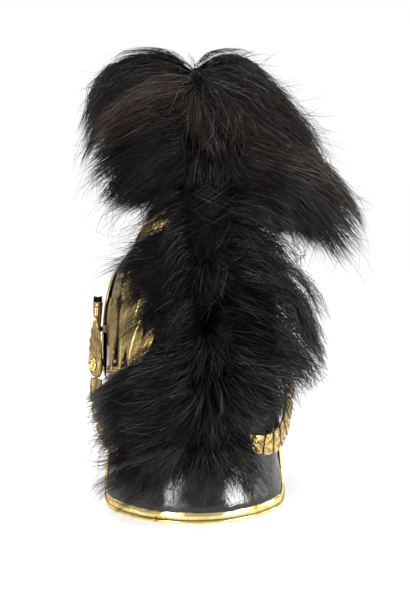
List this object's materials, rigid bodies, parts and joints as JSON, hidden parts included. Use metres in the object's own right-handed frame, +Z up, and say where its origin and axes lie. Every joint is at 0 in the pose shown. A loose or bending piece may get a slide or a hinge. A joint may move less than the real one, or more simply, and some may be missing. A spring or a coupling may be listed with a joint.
{
  "type": "fur-crested dress helmet",
  "caption": "Black leather dress helmet with a high fur-crested comb, gilt front plate and leaf sprays, brass-bound peak and neck guard, and scaled chin straps hooked up behind.",
  "frame": {"origin": "middle of the bottom of the whole object's box, on the surface it stands on", "axes": "+Z up, -Y to the front of the helmet, +X to the wearer's left"},
  "size_m": [0.2828, 0.3668, 0.4446],
  "materials": {
    "patent_leather": "glossy black patent leather with fine creases",
    "gilt_brass": "old gilt, stamped relief, brown in the recesses",
    "brass_binding": "polished rolled brass with tarnish along its edges",
    "brass_scales": "polished stamped brass",
    "strap_leather": "plain dark leather",
    "fur": "long coarse black hair with brown tips"
  },
  "bodies": {
    "root": {"back_hook": "brass_binding", "boss_plate_left": "gilt_brass", "boss_plate_right": "gilt_brass", "chin_strap_left": "strap_leather", "chin_strap_right": "strap_leather", "comb": "gilt_brass", "crest_mane": "fur", "crest_mop": "fur", "front_peak": "patent_leather", "front_peak_binding": "brass_binding", "front_plate": "gilt_brass", "leaf_spray_left": "gilt_brass", "leaf_spray_right": "gilt_brass", "nape_tuft": "fur", "neck_guard": "patent_leather", "neck_guard_binding": "brass_binding", "plume_socket": "gilt_brass", "plume_stub": "fur", "rosette_left": "brass_binding", "rosette_right": "brass_binding", "scale_left_01": "brass_scales", "scale_left_02": "brass_scales", "scale_left_03": "brass_scales", "scale_left_04": "brass_scales", "scale_left_05": "brass_scales", "scale_left_06": "brass_scales", "scale_left_07": "brass_scales", "scale_left_08": "brass_scales", "scale_left_09": "brass_scales", "scale_left_10": "brass_scales", "scale_right_01": "brass_scales", "scale_right_02": "brass_scales", "scale_right_03": "brass_scales", "scale_right_04": "brass_scales", "scale_right_05": "brass_scales", "scale_right_06": "brass_scales", "scale_right_07": "brass_scales", "scale_right_08": "brass_scales", "scale_right_09": "brass_scales", "scale_right_10": "brass_scales", "skull": "patent_leather"}
  },
  "joints": []
}
